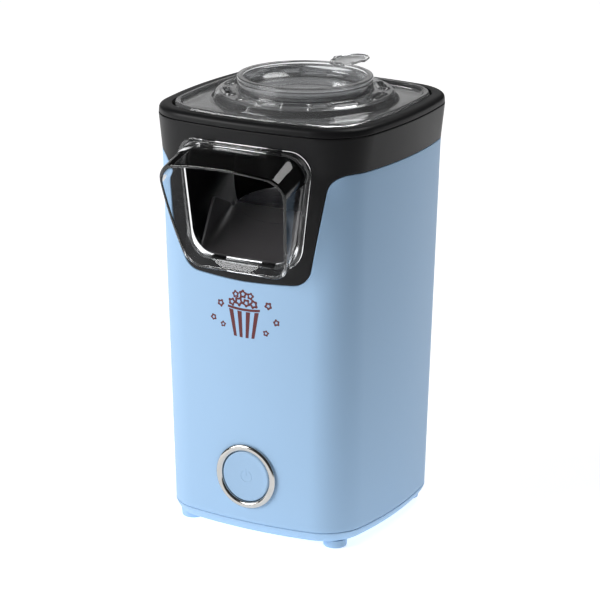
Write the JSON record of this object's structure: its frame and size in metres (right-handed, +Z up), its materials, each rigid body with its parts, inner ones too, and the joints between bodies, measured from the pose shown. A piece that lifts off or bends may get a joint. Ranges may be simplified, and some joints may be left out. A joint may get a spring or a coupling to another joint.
{
  "type": "popcorn maker",
  "caption": "Compact hot-air popcorn maker: tapered square housing with a front chute and clear hood, vented clear lid with measuring cup, round power button, fan and heater inside.",
  "frame": {"origin": "on the table, under the middle of the whole outline (half way between the chute hood's front edge and the tip of the cup's handle), at the height of the feet's undersides", "axes": "+Z up, -Y out of the front with the chute and the button, +X to the right as seen from the front"},
  "size_m": [0.1616, 0.1904, 0.2966],
  "materials": {
    "blue_plastic": "pale blue satin-painted ABS",
    "black_plastic": "black fine-textured plastic",
    "grey_plastic": "matte dark grey heat-resistant plastic",
    "clear_plastic": "clear moulded polycarbonate",
    "chrome": "chrome-plated ring",
    "aluminium": "drawn aluminium, satin",
    "steel": "zinc-plated steel",
    "mica": "pressed mica board",
    "silicone": "red silicone rubber",
    "nylon": "natural nylon",
    "circuit_green": "green circuit board",
    "lead_cover": "white silicone lead insulation"
  },
  "bodies": {
    "housing": {"base_plate": "blue_plastic", "foot_front_left": "blue_plastic", "foot_front_right": "blue_plastic", "foot_rear_left": "blue_plastic", "foot_rear_right": "blue_plastic", "base_screw_1": "steel", "base_screw_2": "steel", "base_screw_3": "steel", "base_screw_4": "steel", "lower_housing": "blue_plastic", "upper_housing": "black_plastic", "top_rim": "black_plastic", "top_deck": "black_plastic", "chute_duct": "grey_plastic", "button_bezel": "chrome", "button_spring": "steel", "switch_bracket": "steel", "switch_body": "black_plastic", "bracket_screw_1": "steel", "bracket_screw_2": "steel", "popping_chamber": "aluminium", "chamber_sleeve": "steel", "chamber_screw_1": "steel", "chamber_screw_2": "steel", "chamber_screw_3": "steel", "chamber_gasket": "silicone", "mica_board_wide": "mica", "mica_board_deep": "mica", "heating_coil": "steel", "fan_housing": "grey_plastic", "motor": "steel", "motor_screw_1": "steel", "motor_screw_2": "steel", "rectifier_board": "circuit_green", "thermostat": "mica", "thermal_fuse": "nylon", "cord_inlet": "black_plastic", "lead_to_switch": "lead_cover", "lead_to_rectifier": "lead_cover", "lead_to_heater": "lead_cover"},
    "fan": {"fan_impeller": "nylon", "motor_shaft": "steel"},
    "button": {"power_button": "blue_plastic", "switch_plunger": "nylon"},
    "lid": {"lid": "clear_plastic"},
    "cup": {"measuring_cup": "clear_plastic"},
    "shield": {"chute_shield": "clear_plastic"}
  },
  "joints": [
    {"name": "fan_spin", "type": "hinge", "parent": "housing", "child": "fan", "pos_m": [0, 0.0172, 0.07], "axis": [0, 0, 1], "continuous": true},
    {"name": "button_press", "type": "slide", "parent": "housing", "child": "button", "axis": [0, 0.9997, 0.0239], "range_m": [0, 0.0025], "stiffness_N_per_m": 400, "springref_m": -0.002, "deforming": ["button_spring"]},
    {"name": "lid_lift", "type": "slide", "parent": "housing", "child": "lid", "axis": [0, 0, 1], "range_m": [0, 0.035]},
    {"name": "cup_lift", "type": "slide", "parent": "lid", "child": "cup", "axis": [0, 0, 1], "range_m": [0, 0.03]},
    {"name": "shield_pull", "type": "slide", "parent": "housing", "child": "shield", "axis": [0, -1, 0], "range_m": [0, 0.06]}
  ]
}
